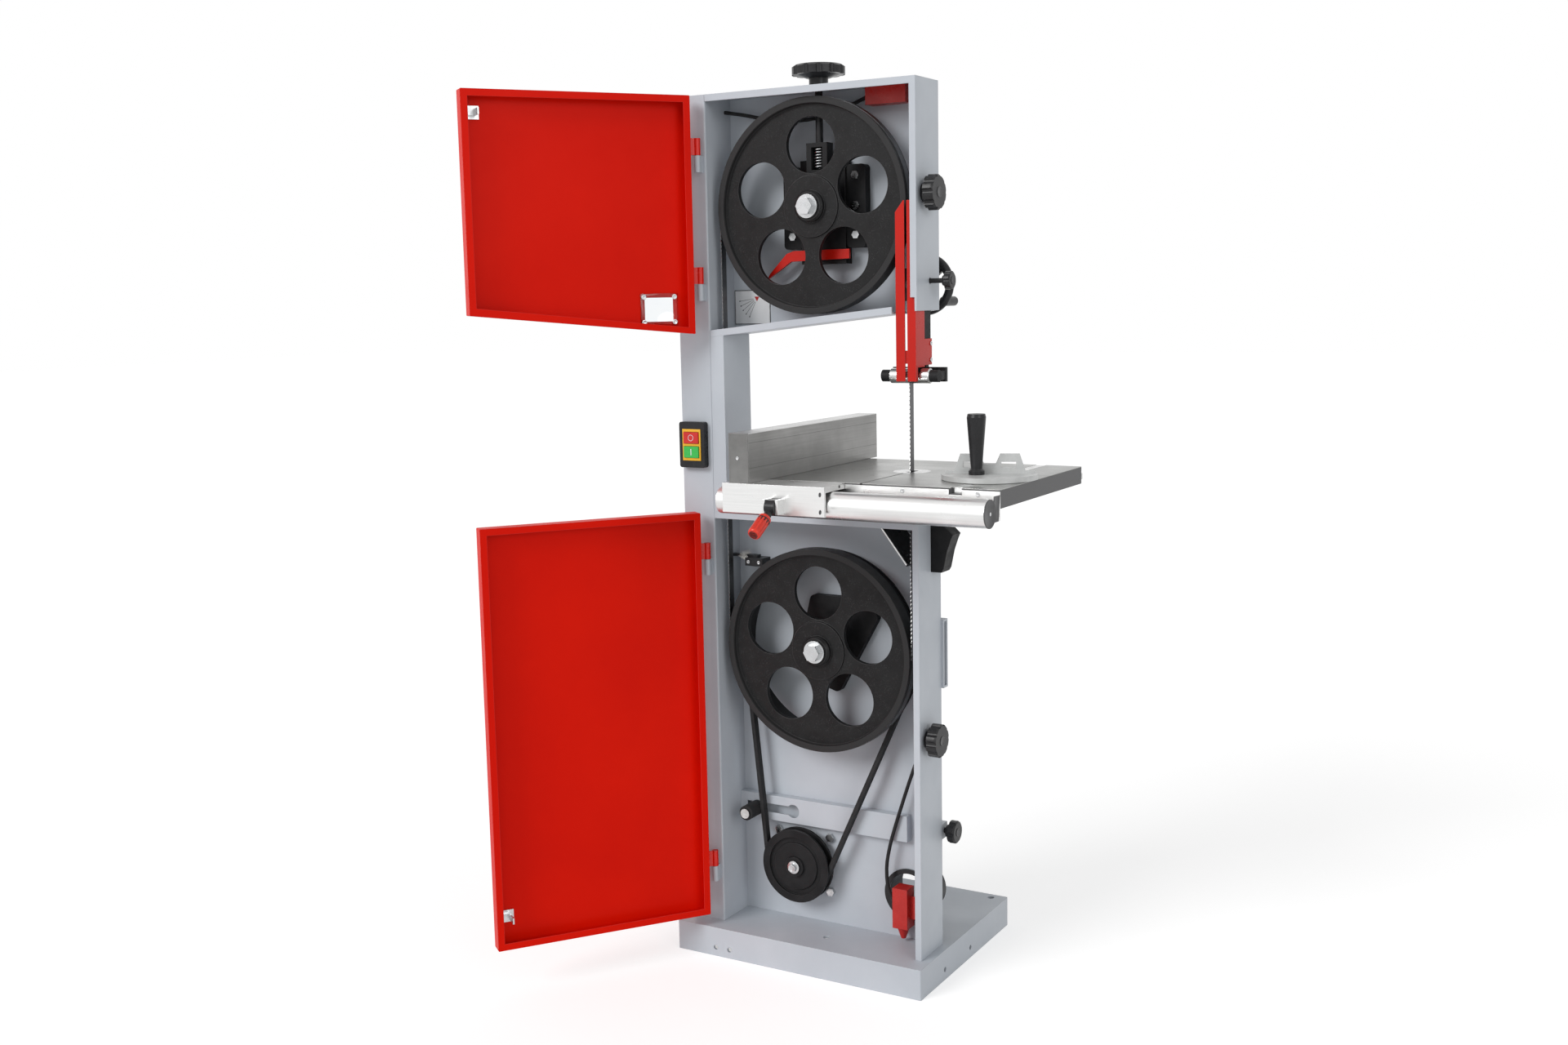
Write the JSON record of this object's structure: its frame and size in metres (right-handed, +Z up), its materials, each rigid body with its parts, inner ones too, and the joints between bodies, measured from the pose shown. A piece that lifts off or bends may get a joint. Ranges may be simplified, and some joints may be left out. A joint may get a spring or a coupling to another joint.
{
  "type": "band saw",
  "caption": "Upright band saw: two wheels behind hinged doors, tilting table with rip fence and mitre gauge, height-adjustable blade guard and belt drive",
  "frame": {"origin": "middle of the underside of the base plinth, which stands on the floor", "axes": "+X right towards the table, +Y back towards the motor, +Z up; the operator stands on the -Y side"},
  "size_m": [0.9746, 0.7717, 1.75],
  "materials": {
    "grey_paint": "semi-gloss powder coat",
    "red_paint": "gloss powder coat",
    "black_cast": "black painted casting",
    "ground_iron": "ground and oiled",
    "bright_steel": "turned and ground",
    "zinc": "bright zinc plate",
    "blade_steel": "tempered spring steel",
    "aluminium": "anodised extrusion",
    "black_plastic": "moulded, satin",
    "red_plastic": "moulded",
    "green_plastic": "moulded",
    "rubber": "matt",
    "motor_paint": "semi-gloss"
  },
  "bodies": {
    "frame": {"base_plinth": "grey_paint", "column": "grey_paint", "blade_cover": "grey_paint", "upper_shell": "grey_paint", "upper_back_panel": "grey_paint", "lower_shell": "grey_paint", "lower_back_panel": "grey_paint", "brace_channel": "grey_paint", "axle_carrier": "grey_paint", "lower_axle_bracket": "black_cast", "carriage_guides": "black_cast", "lower_axle": "zinc", "motor": "motor_paint", "panel_bolts": "zinc", "saw_blade": "blade_steel", "drive_belt": "rubber", "trunnion_cradle": "black_cast", "lower_guide": "bright_steel", "hinge_brackets": "grey_paint", "post_block": "black_cast", "switch_plate": "black_plastic", "interlock_switches": "red_plastic", "interlock_leads": "rubber", "dust_port": "black_plastic", "chip_guards": "black_plastic"},
    "lower_wheel": {"lower_wheel": "black_cast", "drive_sheave": "black_cast"},
    "wheel_carriage": {"wheel_carriage": "black_cast", "upper_axle": "zinc"},
    "upper_wheel": {"upper_wheel": "black_cast"},
    "tension_handwheel": {"tension_handwheel": "black_plastic"},
    "release_lever": {"release_lever": "red_paint"},
    "motor_pulley": {"motor_pulley": "black_cast"},
    "roller_carriage": {"roller_carriage": "bright_steel"},
    "tension_roller": {"tension_roller": "rubber"},
    "tensioner_knob": {"tensioner_knob": "black_plastic"},
    "upper_door": {"upper_door": "red_paint", "upper_door_fittings": "zinc"},
    "lower_door": {"lower_door": "red_paint", "lower_door_fittings": "zinc"},
    "upper_door_knob": {"upper_door_knob": "black_plastic"},
    "lower_door_knob": {"lower_door_knob": "black_plastic"},
    "guide_post": {"blade_guard": "red_paint", "guide_bracket": "black_cast"},
    "left_guide_roller": {"left_guide_roller": "bright_steel"},
    "right_guide_roller": {"right_guide_roller": "bright_steel"},
    "guide_handwheel": {"guide_handwheel": "black_plastic"},
    "post_lock_knob": {"post_lock_knob": "black_plastic"},
    "table": {"table_top": "ground_iron", "table_insert": "bright_steel", "table_trunnions": "black_cast", "table_rails": "aluminium"},
    "fence": {"fence_carrier": "aluminium", "fence_profile": "aluminium"},
    "clamp_lever": {"clamp_lever": "black_plastic"},
    "mitre_bar": {"mitre_bar": "bright_steel"},
    "mitre_head": {"mitre_head": "aluminium"},
    "mitre_handle": {"mitre_handle": "black_plastic"},
    "start_button": {"start_button": "green_plastic"},
    "stop_button": {"stop_button": "red_plastic"}
  },
  "joints": [
    {"name": "lower_wheel_spin", "type": "hinge", "parent": "frame", "child": "lower_wheel", "pos_m": [0.03, -0.1435, 0.6395], "axis": [0, 1, 0], "continuous": true},
    {"name": "tension_handwheel_turn", "type": "hinge", "parent": "frame", "child": "tension_handwheel", "pos_m": [0.03, -0.114, 1.7], "axis": [0, 0, 1], "range_deg": [0, 2160]},
    {"name": "wheel_carriage_slide", "type": "slide", "parent": "frame", "child": "wheel_carriage", "axis": [0, 0, -1], "range_m": [0, 0.012]},
    {"name": "upper_wheel_spin", "type": "hinge", "parent": "wheel_carriage", "child": "upper_wheel", "pos_m": [0.03, -0.1435, 1.486], "axis": [0, 1, 0], "continuous": true},
    {"name": "release_lever_turn", "type": "hinge", "parent": "wheel_carriage", "child": "release_lever", "pos_m": [0.01, -0.105, 1.398], "axis": [0, 1, 0], "range_deg": [0, 60]},
    {"name": "motor_pulley_spin", "type": "hinge", "parent": "frame", "child": "motor_pulley", "pos_m": [-0.046, -0.112, 0.183], "axis": [0, 1, 0], "continuous": true},
    {"name": "tensioner_knob_turn", "type": "hinge", "parent": "frame", "child": "tensioner_knob", "pos_m": [0.2627, -0.064, 0.287], "axis": [1, 0, 0], "range_deg": [0, 3600]},
    {"name": "roller_carriage_slide", "type": "slide", "parent": "frame", "child": "roller_carriage", "axis": [-1, 0, 0], "range_m": [0, 0.02]},
    {"name": "tension_roller_spin", "type": "hinge", "parent": "roller_carriage", "child": "tension_roller", "pos_m": [-0.1438, -0.13, 0.287], "axis": [0, 1, 0], "continuous": true},
    {"name": "upper_door_swing", "type": "hinge", "parent": "frame", "child": "upper_door", "pos_m": [-0.197, -0.186, 1.5], "axis": [0, 0, 1], "range_deg": [-20, 126.3]},
    {"name": "lower_door_swing", "type": "hinge", "parent": "frame", "child": "lower_door", "pos_m": [-0.197, -0.186, 0.5], "axis": [0, 0, 1], "range_deg": [-20, 126.3]},
    {"name": "upper_door_knob_turn", "type": "hinge", "parent": "frame", "child": "upper_door_knob", "pos_m": [0.2577, -0.14, 1.501], "axis": [1, 0, 0], "range_deg": [-180, 180]},
    {"name": "lower_door_knob_turn", "type": "hinge", "parent": "frame", "child": "lower_door_knob", "pos_m": [0.2577, -0.14, 0.488], "axis": [1, 0, 0], "range_deg": [-180, 180]},
    {"name": "guide_post_slide", "type": "slide", "parent": "frame", "child": "guide_post", "axis": [0, 0, -1], "range_m": [-0.045, 0.155]},
    {"name": "guide_handwheel_turn", "type": "hinge", "parent": "frame", "child": "guide_handwheel", "pos_m": [0.212, -0.04, 1.338], "axis": [0, 1, 0], "range_deg": [-175, 600]},
    {"name": "left_guide_roller_spin", "type": "hinge", "parent": "guide_post", "child": "left_guide_roller", "pos_m": [0.21, -0.142, 1.172], "axis": [1, 0, 0], "continuous": true},
    {"name": "right_guide_roller_spin", "type": "hinge", "parent": "guide_post", "child": "right_guide_roller", "pos_m": [0.25, -0.142, 1.172], "axis": [1, 0, 0], "continuous": true},
    {"name": "post_lock_turn", "type": "hinge", "parent": "frame", "child": "post_lock_knob", "pos_m": [0.284, -0.115, 1.344], "axis": [1, 0, 0], "range_deg": [-360, 0]},
    {"name": "table_tilt", "type": "hinge", "parent": "frame", "child": "table", "pos_m": [0.23, -0.153, 0.996], "axis": [0, -1, 0], "range_deg": [-45, 0]},
    {"name": "fence_slide", "type": "slide", "parent": "table", "child": "fence", "axis": [1, 0, 0], "range_m": [-0.018, 0.118]},
    {"name": "clamp_lever_turn", "type": "hinge", "parent": "fence", "child": "clamp_lever", "pos_m": [0.107, -0.4423, 0.959], "axis": [1, 0, 0], "range_deg": [-35, 10]},
    {"name": "mitre_slide", "type": "slide", "parent": "table", "child": "mitre_bar", "axis": [0, 1, 0], "range_m": [-0.1, 0.15]},
    {"name": "mitre_swivel", "type": "hinge", "parent": "mitre_bar", "child": "mitre_head", "pos_m": [0.412, -0.205, 1], "axis": [0, 0, 1], "range_deg": [-80, 40]},
    {"name": "mitre_handle_turn", "type": "hinge", "parent": "mitre_head", "child": "mitre_handle", "pos_m": [0.39748, -0.22944, 1.05], "axis": [0, 0, 1], "range_deg": [0, 180]},
    {"name": "start_button_press", "type": "slide", "parent": "frame", "child": "start_button", "axis": [0, 1, 0], "range_m": [0, 0.003], "stiffness_N_per_m": 400},
    {"name": "stop_button_press", "type": "slide", "parent": "frame", "child": "stop_button", "axis": [0, 1, 0], "range_m": [0, 0.003], "stiffness_N_per_m": 400}
  ],
  "couplings": [
    {"joint": "tension_handwheel_turn", "follows": "wheel_carriage_slide", "rad_per_m": 3141.6},
    {"joint": "upper_wheel_spin", "follows": "lower_wheel_spin", "ratio": 1},
    {"joint": "motor_pulley_spin", "follows": "lower_wheel_spin", "ratio": 2.806},
    {"joint": "tension_roller_spin", "follows": "lower_wheel_spin", "ratio": -12.8},
    {"joint": "tensioner_knob_turn", "follows": "roller_carriage_slide", "rad_per_m": 3141.6},
    {"joint": "guide_handwheel_turn", "follows": "guide_post_slide", "rad_per_m": 66.667}
  ]
}
